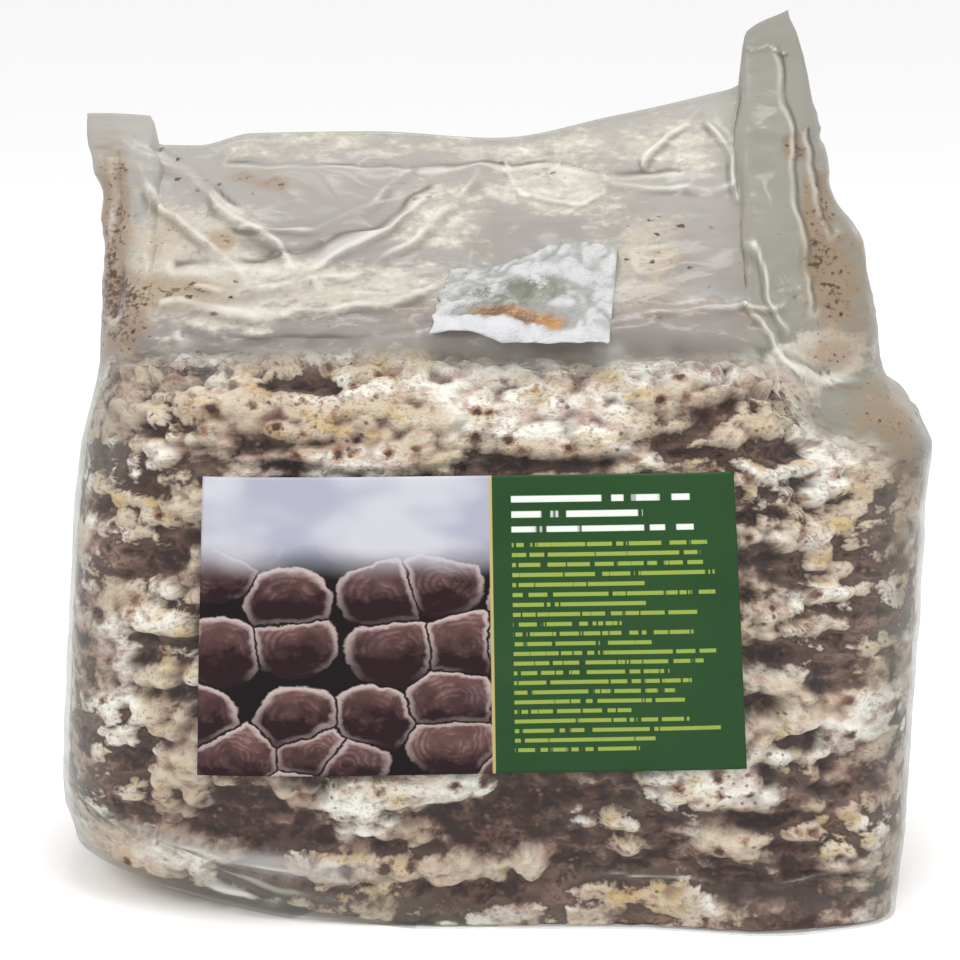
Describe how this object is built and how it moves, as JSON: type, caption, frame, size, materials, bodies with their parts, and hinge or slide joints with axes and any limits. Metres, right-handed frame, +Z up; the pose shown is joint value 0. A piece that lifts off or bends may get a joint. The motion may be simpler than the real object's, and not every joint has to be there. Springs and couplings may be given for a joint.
{
  "type": "shiitake grow block",
  "caption": "Mushroom grow block of sawdust grown through with mycelium, standing in a clear gusseted film bag with an empty headspace, a breathing patch and a label",
  "frame": {"origin": "on the flat base, under the middle of the block", "axes": "+Z up from the base, +X to the right of the label and -Y out of the front, so Y is the short depth of the block"},
  "size_m": [0.2689, 0.1518, 0.2699],
  "materials": {
    "grown_sawdust": "crumbly and matt, cream mycelium over brown sawdust",
    "clear_film": "thin clear film, glossy and slightly hazy, with creases",
    "fleece": "matt white non-woven fleece with a brown stain",
    "printed_label": "smooth coated paper under the film's shine"
  },
  "bodies": {
    "root": {"mycelium_block": "grown_sawdust", "bag": "clear_film", "filter_patch": "fleece", "label": "printed_label"}
  },
  "joints": []
}
